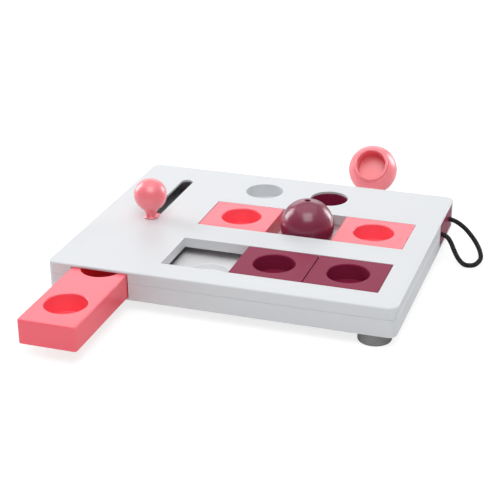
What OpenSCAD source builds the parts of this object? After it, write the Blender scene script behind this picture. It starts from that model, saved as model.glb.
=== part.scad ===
// Puzzle feeder board for a small pet: a flat case with two rows of sliding tiles,
// a lever drawer in the front, a loop drawer in the right side and two ball lids.
// Origin: middle of the board on the floor. X runs to the right, Y to the back, Z up.
// Every piece is drawn where it stands with the lever drawer pushed out.

/* [Case] */
// Length of the board from left to right
board_l = 250; // [246:1:280]
// Depth of the board from front to back
board_d = 200; // [196:1:230]
// Height of the closed case without its feet
case_h = 21.4; // [20.6:0.2:26]
// Height of the upper shell's side wall
upper_h = 8.6; // [6:0.2:12]
// Radius of the four upright corners
corner_r = 6; // [4:0.5:9]
// Round along the top edge
edge_r = 1.2; // [0.6:0.1:1.6]
// Thickness of the side walls
wall_t = 2.2; // [1.6:0.1:3]
// Thickness of the top plate
top_t = 1.8; // [1.4:0.1:2.4]
// Thickness of the bottom plate
floor_t = 1.4; // [1.2:0.1:2]
// Thickness of the guide ribs beside the drawers
rib_t = 1.8; // [1.2:0.1:2.4]
// Height of the guide ribs
rib_h = 8; // [4:0.5:11]

/* [Feet] */
// Diameter of a foot
foot_d = 23.2; // [18:0.2:24]
// Standing height of a foot
foot_h = 8.6; // [6:0.2:14]
// Distance from the board's side to a foot's middle
foot_inset_x = 16.4; // [13:0.2:30]
// Distance from the board's front or back to a foot's middle
foot_inset_y = 12.2; // [12:0.2:30]
// Round along a foot's lower edge
foot_round = 1.2; // [0.4:0.1:2]
// Diameter of the boss that seats a foot in the case
foot_boss_d = 14; // [8:0.5:16]
// Height of that boss
foot_boss_h = 0.6; // [0.3:0.1:0.8]

/* [Tile rows] */
// Length of a row's window, as a share of the board's length
window_share = 0.62; // [0.6:0.005:0.63]
// Distance from the board's right side to the windows, as a share of its length
row_end_share = 0.068; // [0.064:0.001:0.072]
// Length of a row that two tiles leave free, for a third tile or a lid
row_free_l = 49.5; // [46:0.5:58]
// Width of a tile across its row, as a share of the board's depth
tile_share = 0.227; // [0.212:0.001:0.23]
// Gap between a tile and the edge of its window
tile_fit = 0.35; // [0.2:0.05:0.6]
// Middle of the front row, as a share of the board's depth
front_row_share = -0.282; // [-0.29:0.001:-0.27]
// Middle of the middle row, as a share of the board's depth
middle_row_share = 0.08; // [0.06:0.001:0.083]
// Depth of the skirt round a window, from the top
skirt_h = 7.4; // [4:0.2:7.6]
// Thickness of that skirt
skirt_t = 1.6; // [1:0.1:2.4]
// Depth of a track's floor below the top
track_depth = 14; // [13.2:0.2:14.8]
// Thickness of a track's walls and floor
track_t = 1.6; // [1.2:0.1:2]
// How far a tile's flange reaches under the skirt
flange_reach = 3; // [2:0.2:4]
// Height of that flange
flange_h = 5; // [2:0.2:5.6]
// Wall of a tile
tile_wall = 1.8; // [1.2:0.1:2.4]
// Gap between the two tiles that stand side by side
tile_pair_gap = 0.6; // [0.3:0.1:1]
// Round along a tile's upper edges
tile_edge_r = 0.6; // [0.3:0.1:1]
// Radius of a tile's upright corners
tile_corner_r = 1.2; // [1.1:0.1:3]
// Diameter of a tile's bowl
bowl_d = 29.6; // [20:0.2:34]
// Depth of a tile's bowl
bowl_depth = 11.4; // [6:0.2:11.6]
// Wall of a bowl
bowl_wall = 1.6; // [1:0.1:2]
// Diameter of the hollows in a track's floor
hollow_d = 29.2; // [28.6:0.2:36]
// Thickness of a hollow's floor
hollow_floor_t = 1.4; // [1:0.1:2]

/* [Rear holes] */
// Diameter of the two rear holes
hole_d = 29; // [28:0.2:32]
// Middle of the rear row of holes and of the loop drawer, as a share of the board's depth
rear_row_share = 0.345; // [0.34:0.001:0.35]
// Distance between the two rear holes
hole_pitch = 52.5; // [52:0.5:60]
// Depth of the well under the left hole
well_depth = 10; // [6:0.5:14]
// Wall of that well
well_t = 1.6; // [1:0.1:2]

/* [Drawers] */
// Running gap round a drawer
slide_gap = 0.3; // [0.2:0.05:0.4]
// Gap at each side of a drawer in the case's notch
notch_gap = 0.6; // [0.4:0.1:1]
// Wall of a drawer
drawer_wall = 1.8; // [1.4:0.1:2.4]
// Radius of a drawer's upright corners
drawer_corner_r = 2; // [1.5:0.1:3]
// Round along a drawer's upper edges
drawer_edge_r = 1; // [0.5:0.1:1.4]
// Diameter of a drawer's bowls
drawer_bowl_d = 29.2; // [22:0.2:32]
// Depth of a drawer's bowls
drawer_bowl_depth = 13.4; // [8:0.2:14]
// Distance between two bowls of a drawer
drawer_bowl_pitch = 57.6; // [50:0.2:59]

/* [Lever drawer] */
// Width of the lever drawer
lever_drawer_w = 41.6; // [38:0.2:43]
// Length of the lever drawer
lever_drawer_l = 190; // [186:1:200]
// Distance from the board's left side to the lever drawer's middle, as a share of its length
lever_share = 0.16; // [0.156:0.001:0.166]
// How far the drawer stands out of the front
lever_drawer_out = 82; // [72:1:84]
// Distance from the drawer's face to its first bowl
lever_bowl_offset = 30; // [24:0.5:34]
// Travel of the lever in its slot, as a share of the board's depth
lever_travel_share = 0.37; // [0.25:0.005:0.385]
// Distance from the drawer's back end to the lever
lever_offset = 13; // [12:0.5:20]
// Diameter of the lever's stem
stem_d = 8.3; // [7:0.1:9]
// Gap beside the stem in the slot
slot_gap = 0.6; // [0.15:0.05:0.65]
// Diameter of the lever's ball
knob_d = 24.6; // [20:0.2:28]
// Height of the ball's middle above the board
knob_h = 18; // [17:0.2:24]
// Diameter where the stem's neck flares into the ball
neck_d = 14.8; // [10:0.2:16]
// Height of that flare
neck_h = 3.2; // [2:0.1:4]
// Diameter of the skirt where the lever meets the board
lever_skirt_d = 11.8; // [10:0.2:14]
// Height of that skirt
lever_skirt_h = 1.6; // [0.8:0.1:2.4]
// Depth of the lever's socket in the drawer
socket_depth = 8; // [6:0.5:9]
// Wall and floor of that socket
socket_t = 2.2; // [1.6:0.1:3]

/* [Loop drawer] */
// Width of the loop drawer, as a share of the board's depth
loop_drawer_share = 0.218; // [0.2:0.001:0.22]
// Length of the loop drawer
loop_drawer_l = 112; // [110:1:118]
// Distance from the drawer's back end to its second bowl, which lies under the right rear hole
loop_bowl_end = 20.3; // [19:0.1:24]
// Travel of the loop drawer
loop_travel = 60; // [40:1:70]
// How far the drawer's face lies inside the case's side
face_inset = 0.2; // [0.1:0.1:1.5]
// Length of the stop lugs at the drawer's back end
lug_l = 4; // [3:0.5:6]
// How far a stop lug reaches beyond the drawer's side
lug_reach = 1.7; // [1.2:0.1:1.8]
// Diameter of the pull cord
cord_d = 3.6; // [3:0.1:3.8]
// Gap round the cord in the drawer's face
cord_gap = 0.3; // [0.2:0.05:0.5]
// Diameter of the knots at the cord's ends
knot_d = 7; // [6:0.2:8]

/* [Ball lids] */
// Diameter of a ball lid
ball_d = 40; // [38:0.5:42]
// Distance from a ball's middle to its flat shoulder
shoulder_h = 13; // [12.4:0.2:14]
// Diameter of the collar below the shoulder
collar_d = 27.4; // [26:0.2:28]
// Height of the collar
collar_h = 3.5; // [2:0.1:3.8]
// Diameter of the cup inside a lid
cup_d = 23; // [18:0.5:23.5]
// Depth of that cup from the collar's rim
cup_depth = 15; // [8:0.5:24]
// Diameter of the hole in a lid's crown
crown_hole_d = 4.2; // [3:0.2:6]
// Depth of that hole
crown_hole_depth = 9; // [3:0.5:12]
// How far the seated lid stands to the right of its place
row_ball_shift = 0.7; // [0:0.1:0.8]
// Place of the loose lid's middle to the right of the board's middle
loose_ball_x = 44.5; // [-60:0.5:100]
// Distance from the board's back to the loose lid's middle
loose_ball_y = 65; // [64:0.5:67]
// Tilt of the loose lid's mouth above the floor, in degrees
loose_ball_tilt = 36; // [20:1:60]
// Turn of the loose lid's mouth to the right, in degrees
loose_ball_turn = 6; // [-40:1:40]

/* [Screws] */
// Diameter of a screw's shank
screw_d = 2.9; // [2.4:0.1:3]
// Gap round a shank in the piece that it holds
screw_gap = 0.2; // [0.1:0.05:0.3]
// Gap round a shank in the piece that it bites into
bite_gap = 0.05; // [0.02:0.01:0.08]
// Diameter of a screw's head
head_d = 5.4; // [5:0.1:5.6]
// Height of a screw's head
head_h = 1.8; // [1.2:0.1:2]
// Gap round a head in its counterbore
head_gap = 0.3; // [0.2:0.05:0.4]
// Length of the drive slot in a screw's head
drive_l = 3.6; // [2:0.1:4.4]
// Width of that slot
drive_w = 0.8; // [0.5:0.1:1.2]
// Depth of that slot
drive_h = 0.8; // [0.4:0.1:1]
// Depth of the counterbore in the case's floor
counterbore_h = 2.6; // [2.2:0.1:3.2]
// Length that a case screw bites into the upper shell
case_bite = 5.5; // [3:0.1:6]
// Length that the lever's screw bites into the stem
lever_bite = 7; // [4:0.1:9]
// Diameter of the screw posts in the case
post_d = 7.6; // [7.2:0.1:8]
// Distance from the case's sides to a screw post
post_inset = 8.6; // [8:0.1:9]

/* [Hidden] */
$fn = 64;

// Excess that lets a cut run clear of a face
over = 1;

// Levels above the floor
z_bottom = foot_h;
z_floor = z_bottom + floor_t;
z_top = z_bottom + case_h;
z_seam = z_top - upper_h;
z_plate = z_top - top_t;
z_skirt = z_top - skirt_h;
z_track = z_top - track_depth;
z_tile = z_track + slide_gap;
z_drawer = z_floor + slide_gap;
z_drawer_top = z_plate - slide_gap;
z_stem = z_drawer_top - socket_depth;
z_socket = z_stem - socket_t;

// Rows
front_row_y = board_d * front_row_share;
middle_row_y = board_d * middle_row_share;
rear_row_y = board_d * rear_row_share;
window_l = board_l * window_share;
row_x = board_l * (0.5 - row_end_share) - window_l / 2;
window_x0 = row_x - window_l / 2;
window_x1 = row_x + window_l / 2;
tile_l = (window_l - row_free_l) / 2 - tile_fit;
tile_w = board_d * tile_share;
window_w = tile_w + 2 * tile_fit;
left_place_x = window_x0 + tile_fit + tile_l / 2;
right_place_x = window_x1 - tile_fit - tile_l / 2;
pair_place_x = right_place_x - tile_l - tile_pair_gap;
flange_w = tile_w + 2 * flange_reach;
track_in_l = window_l + 2 * (skirt_t + slide_gap);
track_in_w = flange_w + 2 * tile_fit;

// Drawers
lever_x = board_l * (lever_share - 0.5);
lever_travel = board_d * lever_travel_share;
lever_face_y = -board_d / 2 - lever_drawer_out;
lever_y = lever_face_y + lever_drawer_l - lever_offset;
slot_w = stem_d + 2 * slot_gap;
loop_drawer_w = board_d * loop_drawer_share;
loop_face_x = board_l / 2 - face_inset;
loop_back_x = loop_face_x - loop_drawer_l;
loop_bowl_offset = loop_drawer_l - loop_bowl_end - drawer_bowl_pitch;
right_hole_x = loop_back_x + loop_bowl_end;
left_hole_x = right_hole_x - hole_pitch;
loop_stop_x = loop_back_x + lug_l + loop_travel + slide_gap;

// Screw posts, along the case's sides and between the drawers and the tracks
post_left_x = -board_l / 2 + post_inset;
post_right_x = board_l / 2 - post_inset;
post_front_y = -board_d / 2 + post_inset;
post_back_y = board_d / 2 - post_inset;
post_between_y = (front_row_y + middle_row_y) / 2;
post_inner_x = (lever_x + lever_drawer_w / 2 + window_x0) / 2;
post_places = [
    [post_left_x, front_row_y], [post_left_x, rear_row_y],
    [post_inner_x, post_front_y], [right_place_x, post_front_y],
    [post_inner_x, post_between_y], [post_right_x, post_between_y],
    [loop_back_x - 2 * post_d, post_back_y]
];

// The cord's middle line, from the drawer's face outwards and from the drawer's middle,
// with its height above the floor
cord_sides = 8;
cord_route = [
    [-5, 14, 18.5], [1.5, 14, 18.5], [8, 11.5, 17.2], [14.5, 7, 14.8], [20.5, 1, 11.8],
    [25.5, -5.5, 8.8], [29, -12, 6], [30.5, -18.5, 3.8], [28.8, -24.5, 2.4], [26, -28, 2],
    [20.5, -30, 2.8], [15.5, -28, 6], [11.5, -24, 10.2], [8, -19.5, 14.2], [4.5, -16.5, 17],
    [0, -15.5, 18.5], [-5, -15.5, 18.5]
];

shell_white = [0.90, 0.91, 0.93];
pink = [0.98, 0.50, 0.53];
maroon = [0.47, 0.20, 0.30];
steel = [0.70, 0.71, 0.73];
cord_black = [0.06, 0.06, 0.06];
foot_grey = [0.62, 0.63, 0.65];

module rounded_rect(l, d, r) {
    square([l - 2 * r, d], center = true);
    square([l, d - 2 * r], center = true);
    for (sx = [-1, 1], sy = [-1, 1])
        translate([sx * (l / 2 - r), sy * (d / 2 - r)])
            circle(r);
}

// A block with round upright corners, between two heights
module slab(l, d, r, z0, z1) {
    translate([0, 0, z0])
        linear_extrude(z1 - z0)
            rounded_rect(l, d, r);
}

module round_bar(d, z0, z1) {
    translate([0, 0, z0])
        cylinder(d = d, h = z1 - z0);
}

// Section of what a quarter round leaves off an edge, with the edge at its origin
module edge_section(e) {
    difference() {
        translate([-e, -e])
            square(e + over);
        translate([-e, -e])
            circle(e);
    }
}

// Cuts a round of radius e along the top edge of a slab whose top is at height z
module top_edge_cut(l, d, r, e, z) {
    translate([0, 0, z]) {
        for (side = [0, 180])
            rotate(side) {
                translate([l / 2, d / 2 - r, 0])
                    rotate([90, 0, 0])
                        linear_extrude(d - 2 * r)
                            edge_section(e);
                translate([-l / 2 + r, d / 2, 0])
                    rotate([90, 0, 90])
                        linear_extrude(l - 2 * r)
                            edge_section(e);
            }
        for (quarter = [0 : 3])
            let (sx = quarter == 0 || quarter == 3 ? 1 : -1, sy = quarter < 2 ? 1 : -1)
                translate([sx * (l / 2 - r), sy * (d / 2 - r), 0])
                    rotate(90 * quarter)
                        rotate_extrude(angle = 90)
                            translate([r, 0])
                                edge_section(e);
    }
}

// A block over a row's window, grown by a margin on all sides
module row_block(y, margin, z0, z1) {
    translate([row_x, y, (z0 + z1) / 2])
        cube([window_l + 2 * margin, window_w + 2 * margin, z1 - z0], center = true);
}

module at_posts() {
    for (place = post_places)
        translate(place)
            children();
}

// The notch that a drawer passes through, in the case's front and in its right side
module drawer_notches(z0, z1) {
    depth = 2 * wall_t;
    translate([lever_x, -board_d / 2, (z0 + z1) / 2])
        cube([lever_drawer_w + 2 * notch_gap, 2 * depth, z1 - z0], center = true);
    translate([board_l / 2, rear_row_y, (z0 + z1) / 2])
        cube([2 * depth, loop_drawer_w + 2 * notch_gap, z1 - z0], center = true);
}

// The slot runs from where the lever stands to the end of its travel
module lever_slot() {
    translate([lever_x, lever_y, z_plate - over])
        linear_extrude(top_t + 2 * over) {
            translate([-slot_w / 2, 0])
                square([slot_w, lever_travel]);
            for (end = [0, lever_travel])
                translate([0, end])
                    circle(d = slot_w);
        }
}

module top_shell() {
    rooted = top_t / 2;
    color(shell_white)
        difference() {
            union() {
                difference() {
                    slab(board_l, board_d, corner_r, z_seam, z_top);
                    slab(board_l - 2 * wall_t, board_d - 2 * wall_t, corner_r - wall_t,
                         z_seam - over, z_plate);
                }
                for (y = [front_row_y, middle_row_y])
                    row_block(y, skirt_t, z_skirt, z_plate + rooted);
                translate([left_hole_x, rear_row_y])
                    round_bar(hole_d + 2 * well_t, z_top - well_depth - well_t, z_plate + rooted);
                at_posts()
                    round_bar(post_d, z_seam, z_plate + rooted);
            }
            top_edge_cut(board_l, board_d, corner_r, edge_r, z_top);
            for (y = [front_row_y, middle_row_y])
                row_block(y, 0, z_skirt - over, z_top + over);
            translate([left_hole_x, rear_row_y])
                round_bar(hole_d, z_top - well_depth, z_top + over);
            translate([right_hole_x, rear_row_y])
                round_bar(hole_d, z_plate - over, z_top + over);
            lever_slot();
            drawer_notches(z_seam - over, z_plate);
            at_posts()
                round_bar(screw_d + 2 * bite_gap, z_seam - over, z_plate);
        }
}

// Ribs that guide both drawers; those of the loop drawer end where its lugs stop
module guide_ribs() {
    z0 = z_floor - floor_t / 2;
    h = rib_h + floor_t / 2;
    lever_side = lever_drawer_w / 2 + slide_gap;
    loop_side = loop_drawer_w / 2 + slide_gap;
    front_y = -board_d / 2 + wall_t / 2;
    right_x = board_l / 2 - wall_t / 2;
    lever_rib_end = lever_face_y + lever_drawer_l + lever_travel;
    for (side = [-1, 1]) {
        translate([lever_x + side * (lever_side + rib_t / 2) - rib_t / 2, front_y, z0])
            cube([rib_t, lever_rib_end - front_y, h]);
        translate([loop_stop_x, rear_row_y + side * (loop_side + rib_t / 2) - rib_t / 2, z0])
            cube([right_x - loop_stop_x, rib_t, h]);
    }
}

module at_feet() {
    for (sx = [-1, 1], sy = [-1, 1])
        translate([sx * (board_l / 2 - foot_inset_x), sy * (board_d / 2 - foot_inset_y)])
            children();
}

module bottom_tray() {
    color(shell_white)
        difference() {
            union() {
                difference() {
                    slab(board_l, board_d, corner_r, z_bottom, z_seam);
                    slab(board_l - 2 * wall_t, board_d - 2 * wall_t, corner_r - wall_t,
                         z_floor, z_seam + over);
                }
                guide_ribs();
                at_posts()
                    round_bar(post_d, z_floor - floor_t / 2, z_seam);
            }
            drawer_notches(z_floor, z_seam + over);
            at_posts() {
                round_bar(screw_d + 2 * screw_gap, z_bottom - over, z_seam + over);
                round_bar(head_d + 2 * head_gap, z_bottom - over, z_bottom + counterbore_h);
            }
            at_feet()
                round_bar(foot_boss_d + 2 * bite_gap, z_bottom - over, z_bottom + foot_boss_h);
        }
}

// A floor under a row's window, with a wall at its right end and one on its outer side.
// The side towards the other row is open, and the treat hollows stand on the case's floor.
module track(y, side) {
    places = [left_place_x, row_x, right_place_x];
    outer_y = y - side * (track_in_w / 2 + track_t);
    inner_y = post_between_y - side * slide_gap;
    color(shell_white)
        difference() {
            union() {
                translate([row_x, (outer_y + inner_y) / 2, (z_track - track_t + z_plate) / 2])
                    cube([track_in_l + 2 * track_t, abs(inner_y - outer_y),
                          z_plate - z_track + track_t], center = true);
                for (x = places)
                    translate([x, y])
                        round_bar(hollow_d + 2 * track_t, z_floor, z_track - track_t / 2);
            }
            translate([row_x - track_t, (outer_y + inner_y) / 2 + side * track_t,
                       (z_track + z_plate + over) / 2])
                cube([track_in_l + 2 * track_t, abs(inner_y - outer_y),
                      z_plate + over - z_track], center = true);
            for (x = places)
                translate([x, y])
                    round_bar(hollow_d, z_floor + hollow_floor_t, z_track + over);
        }
}

module front_track() {
    track(front_row_y, 1);
}

module middle_track() {
    track(middle_row_y, -1);
}

module foot(sx, sy) {
    color(foot_grey)
        translate([sx * (board_l / 2 - foot_inset_x), sy * (board_d / 2 - foot_inset_y)]) {
            rotate_extrude() {
                translate([0, foot_round])
                    square([foot_d / 2, foot_h - foot_round]);
                square([foot_d / 2 - foot_round, foot_h]);
                translate([foot_d / 2 - foot_round, foot_round])
                    circle(foot_round);
            }
            round_bar(foot_boss_d, foot_h - foot_boss_h, foot_h + foot_boss_h);
        }
}

module foot_front_left() {
    foot(-1, -1);
}

module foot_front_right() {
    foot(1, -1);
}

module foot_rear_left() {
    foot(-1, 1);
}

module foot_rear_right() {
    foot(1, 1);
}

// A pan head screw driven upwards, with the seat of its head at height z
module screw(z, length) {
    color(steel)
        difference() {
            union() {
                round_bar(head_d, z - head_h, z);
                round_bar(screw_d, z - head_h / 2, z + length);
            }
            translate([0, 0, z - head_h])
                cube([drive_l, drive_w, 2 * drive_h], center = true);
        }
}

module case_screws() {
    seat = z_bottom + counterbore_h;
    at_posts()
        screw(seat, z_seam - seat + case_bite);
}

// A drawer open below, with its face at X = 0 and its body towards -X.
// Bowls and sockets are given by their distance behind the face.
module drawer_box(l, w, bowls, sockets) {
    difference() {
        translate([-l / 2, 0]) {
            difference() {
                slab(l, w, drawer_corner_r, z_drawer, z_drawer_top);
                top_edge_cut(l, w, drawer_corner_r, drawer_edge_r, z_drawer_top);
            }
        }
        difference() {
            translate([-l / 2, 0, (z_drawer_top - drawer_wall + z_drawer - over) / 2])
                cube([l - 2 * drawer_wall, w - 2 * drawer_wall,
                      z_drawer_top - drawer_wall - z_drawer + over], center = true);
            for (offset_x = bowls)
                translate([-offset_x, 0])
                    round_bar(drawer_bowl_d + 2 * bowl_wall,
                              z_drawer_top - drawer_bowl_depth - bowl_wall, z_drawer_top);
            for (offset_x = sockets)
                translate([-offset_x, 0])
                    round_bar(stem_d + 2 * socket_t, z_socket, z_drawer_top);
        }
        for (offset_x = bowls)
            translate([-offset_x, 0])
                round_bar(drawer_bowl_d, z_drawer_top - drawer_bowl_depth, z_drawer_top + over);
    }
}

module lever_drawer() {
    bowls = [lever_bowl_offset, lever_bowl_offset + drawer_bowl_pitch];
    color(pink)
        difference() {
            translate([lever_x, lever_face_y])
                rotate(-90)
                    drawer_box(lever_drawer_l, lever_drawer_w, bowls,
                               [lever_drawer_l - lever_offset]);
            translate([lever_x, lever_y]) {
                round_bar(stem_d + 2 * bite_gap, z_stem, z_drawer_top + over);
                round_bar(screw_d + 2 * screw_gap, z_socket - over, z_stem + over);
            }
        }
}

// Stem, ball and the skirt that covers the slot's end, moulded in one
module lever() {
    z_ball = z_top + knob_h;
    z_neck = z_ball - sqrt(pow(knob_d, 2) - pow(neck_d, 2)) / 2;
    color(pink)
        translate([lever_x, lever_y])
            difference() {
                union() {
                    translate([0, 0, z_ball])
                        sphere(d = knob_d);
                    round_bar(stem_d, z_stem, z_ball);
                    translate([0, 0, z_top + slide_gap])
                        cylinder(d1 = lever_skirt_d, d2 = stem_d, h = lever_skirt_h);
                    translate([0, 0, z_neck - neck_h])
                        cylinder(d1 = stem_d, d2 = neck_d, h = neck_h);
                }
                round_bar(screw_d + 2 * bite_gap, z_stem - over, z_stem + lever_bite + over);
            }
}

module lever_screw() {
    translate([lever_x, lever_y])
        screw(z_socket, socket_t + lever_bite);
}

module loop_drawer() {
    color(maroon)
        translate([loop_face_x, rear_row_y])
            difference() {
                union() {
                    drawer_box(loop_drawer_l, loop_drawer_w,
                               [loop_bowl_offset, loop_bowl_offset + drawer_bowl_pitch], []);
                    for (side = [0, 1])
                        mirror([0, side, 0])
                            translate([-loop_drawer_l + drawer_corner_r,
                                       loop_drawer_w / 2 - drawer_wall, z_drawer])
                                cube([lug_l - drawer_corner_r, lug_reach + drawer_wall,
                                      rib_h - slide_gap]);
                }
                for (end = [cord_route[0], cord_route[len(cord_route) - 1]])
                    translate([-drawer_wall - over, end.y, end.z])
                        rotate([0, 90, 0])
                            cylinder(d = cord_d + 2 * cord_gap, h = drawer_wall + 2 * over);
            }
}

function unit(v) = v / norm(v);

function along(route, i) =
    unit(route[min(i + 1, len(route) - 1)] - route[max(i - 1, 0)]);

// One ring of the cord, square to its middle line
function cord_ring(route, i) =
    let (t = along(route, i), s = unit(cross(t, [0, 0, 1])), n = cross(s, t))
    [for (k = [0 : cord_sides - 1])
        let (a = 360 * k / cord_sides)
        route[i] + cord_d / 2 * (cos(a) * s + sin(a) * n)];

module pull_cord() {
    rings = len(cord_route);
    points = [for (i = [0 : rings - 1]) each cord_ring(cord_route, i)];
    sides = [for (i = [0 : rings - 2], k = [0 : cord_sides - 1])
        let (next = (k + 1) % cord_sides, a = i * cord_sides, b = a + cord_sides)
        each [[a + k, b + k, b + next], [a + k, b + next, a + next]]];
    last = (rings - 1) * cord_sides;
    caps = [for (k = [1 : cord_sides - 2])
        each [[0, k, k + 1], [last, last + k + 1, last + k]]];
    color(cord_black)
        translate([loop_face_x, rear_row_y])
            polyhedron(points, concat(sides, caps));
}

module cord_knots() {
    color(cord_black)
        translate([loop_face_x - drawer_wall - bite_gap - knot_d / 2, rear_row_y])
            for (end = [cord_route[0], cord_route[len(cord_route) - 1]])
                translate([0, end.y, end.z])
                    sphere(d = knot_d);
}

// A tile with a bowl, hollow below, whose flanges run under the window's skirt
module tile(x, y, shade) {
    pocket_top = z_top - tile_wall;
    color(shade)
        translate([x, y]) {
            difference() {
                union() {
                    difference() {
                        slab(tile_l, tile_w, tile_corner_r, z_tile, z_top);
                        top_edge_cut(tile_l, tile_w, tile_corner_r, tile_edge_r, z_top);
                    }
                    slab(tile_l, flange_w, tile_corner_r, z_tile, z_tile + flange_h);
                }
                difference() {
                    translate([0, 0, (z_tile - over + pocket_top) / 2])
                        cube([tile_l - 2 * tile_wall, tile_w - 2 * tile_wall,
                              pocket_top - z_tile + over], center = true);
                    round_bar(bowl_d + 2 * bowl_wall, z_top - bowl_depth - bowl_wall, z_top);
                }
                round_bar(bowl_d, z_top - bowl_depth, z_top + over);
            }
        }
}

module middle_tile_left() {
    tile(left_place_x, middle_row_y, pink);
}

module middle_tile_right() {
    tile(right_place_x, middle_row_y, pink);
}

module front_tile_left() {
    tile(pair_place_x, front_row_y, maroon);
}

module front_tile_right() {
    tile(right_place_x, front_row_y, maroon);
}

// A lid round its own middle, mouth down: a cut ball with a collar, a cup and a crown hole
module ball_lid() {
    rim = -shoulder_h - collar_h;
    difference() {
        union() {
            difference() {
                sphere(d = ball_d);
                translate([0, 0, -shoulder_h - ball_d / 2])
                    cube([2 * ball_d, 2 * ball_d, ball_d], center = true);
            }
            round_bar(collar_d, rim, -shoulder_h + over);
        }
        round_bar(cup_d, rim - over, rim + cup_depth);
        round_bar(crown_hole_d, ball_d / 2 - crown_hole_depth, ball_d);
    }
}

module row_ball() {
    color(maroon)
        translate([row_x + row_ball_shift, middle_row_y, z_track + slide_gap + shoulder_h])
            ball_lid();
}

module loose_ball() {
    color(pink)
        translate([loose_ball_x, board_d / 2 + loose_ball_y, ball_d / 2])
            rotate([-90 - loose_ball_tilt, 0, loose_ball_turn])
                ball_lid();
}

top_shell();
bottom_tray();
front_track();
middle_track();
foot_front_left();
foot_front_right();
foot_rear_left();
foot_rear_right();
case_screws();
lever_drawer();
lever();
lever_screw();
loop_drawer();
pull_cord();
cord_knots();
middle_tile_left();
middle_tile_right();
front_tile_left();
front_tile_right();
row_ball();
loose_ball();
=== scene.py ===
from math import cos, pi, radians, sin, sqrt

import bpy
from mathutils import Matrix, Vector


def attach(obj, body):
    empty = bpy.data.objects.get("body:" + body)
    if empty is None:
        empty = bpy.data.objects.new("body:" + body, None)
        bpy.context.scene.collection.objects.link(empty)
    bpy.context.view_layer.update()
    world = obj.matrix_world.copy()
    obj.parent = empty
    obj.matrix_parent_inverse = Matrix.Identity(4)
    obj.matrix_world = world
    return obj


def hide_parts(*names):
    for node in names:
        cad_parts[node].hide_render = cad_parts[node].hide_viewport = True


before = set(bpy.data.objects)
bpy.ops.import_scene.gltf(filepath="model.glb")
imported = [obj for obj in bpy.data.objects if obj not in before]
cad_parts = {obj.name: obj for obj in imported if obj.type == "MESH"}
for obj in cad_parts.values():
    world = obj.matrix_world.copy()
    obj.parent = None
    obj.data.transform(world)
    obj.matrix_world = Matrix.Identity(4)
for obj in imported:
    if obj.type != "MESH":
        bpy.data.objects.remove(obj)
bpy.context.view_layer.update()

# The view: a camera where the photograph was taken from, with the lens that gives its perspective.
# Places are in metres, in the board's own frame. The pieces' sizes are millimetres times mm.
mm = 0.001
lens = bpy.data.cameras.new("camera")
lens.lens = 95.115
lens.sensor_width = 36
lens.clip_start = 0.01
camera = bpy.data.objects.new("camera", lens)
camera.location = (0.28243, -0.84696, 0.42004)
camera.rotation_euler = (radians(65.4313), radians(0.6176), radians(18.6771))
bpy.context.scene.collection.objects.link(camera)
bpy.context.scene.camera = camera
bpy.context.scene.view_settings.view_transform = "Standard"

# The light: an even pale surround and soft white screens. One hangs over the camera, a wide one
# overhead and one behind, which gives the tops a sheen. Two tall ones, left and right, draw the long
# highlights on the balls, and shiny faces mirror a surround that is brighter above and behind.
surround_level = 0.36
surround_tint = (0.97, 0.98, 1.0, 1)
mirrored_front = 0.10
mirrored_back = 0.52
up_and_back = (0, 0.6, 0.8)
world = bpy.data.worlds.new("surround")
bpy.context.scene.world = world
world.use_nodes = True
nodes, links = world.node_tree.nodes, world.node_tree.links
nodes.clear()
ray = nodes.new("ShaderNodeLightPath")
even = nodes.new("ShaderNodeBackground")
even.inputs["Color"].default_value = surround_tint
even.inputs["Strength"].default_value = surround_level
dim = nodes.new("ShaderNodeBackground")
dim.inputs["Color"].default_value = surround_tint
way = nodes.new("ShaderNodeTexCoord")
upward = nodes.new("ShaderNodeVectorMath")
upward.operation = "DOT_PRODUCT"
upward.inputs[1].default_value = up_and_back
links.new(way.outputs["Generated"], upward.inputs[0])
rise = nodes.new("ShaderNodeMapRange")
rise.interpolation_type = "SMOOTHSTEP"
rise.inputs["From Min"].default_value = -0.15
rise.inputs["From Max"].default_value = 0.75
rise.inputs["To Min"].default_value = mirrored_front
rise.inputs["To Max"].default_value = mirrored_back
links.new(upward.outputs["Value"], rise.inputs["Value"])
links.new(rise.outputs["Result"], dim.inputs["Strength"])
either = nodes.new("ShaderNodeMixShader")
links.new(ray.outputs["Is Glossy Ray"], either.inputs["Fac"])
links.new(even.outputs[0], either.inputs[1])
links.new(dim.outputs[0], either.inputs[2])
white = nodes.new("ShaderNodeBackground")
white.inputs["Color"].default_value = (1, 1, 1, 1)
white.inputs["Strength"].default_value = 1
behind = nodes.new("ShaderNodeMixShader")
links.new(ray.outputs["Is Camera Ray"], behind.inputs["Fac"])
links.new(either.outputs[0], behind.inputs[1])
links.new(white.outputs[0], behind.inputs[2])
sky = nodes.new("ShaderNodeOutputWorld")
links.new(behind.outputs[0], sky.inputs["Surface"])

board_middle = Vector((0, 0, 20 * mm))


def light_screen(name, place, width, height, power):
    """A rectangle of soft white light that faces the middle of the board."""
    screen = bpy.data.lights.new(name, "AREA")
    screen.shape = "RECTANGLE"
    screen.size = width
    screen.size_y = height
    screen.energy = power
    lamp = bpy.data.objects.new(name, screen)
    lamp.location = place
    aim = board_middle - Vector(place)
    lamp.rotation_euler = aim.to_track_quat("-Z", "Y").to_euler()
    bpy.context.scene.collection.objects.link(lamp)


light_screen("screen_over_camera", (0.24, -0.64, 1.10), 0.80, 0.80, 6.6)
light_screen("screen_overhead", (-0.05, 0.1, 1.5), 2.0, 1.6, 6.8)
light_screen("screen_behind", (-0.55, 1.55, 0.78), 1.7, 0.9, 5.6)
light_screen("screen_left", (-1.05, 0.25, 0.45), 0.52, 0.74, 6.4)
light_screen("screen_right", (0.72, 1.0, 0.28), 0.42, 0.58, 4.8)

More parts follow.
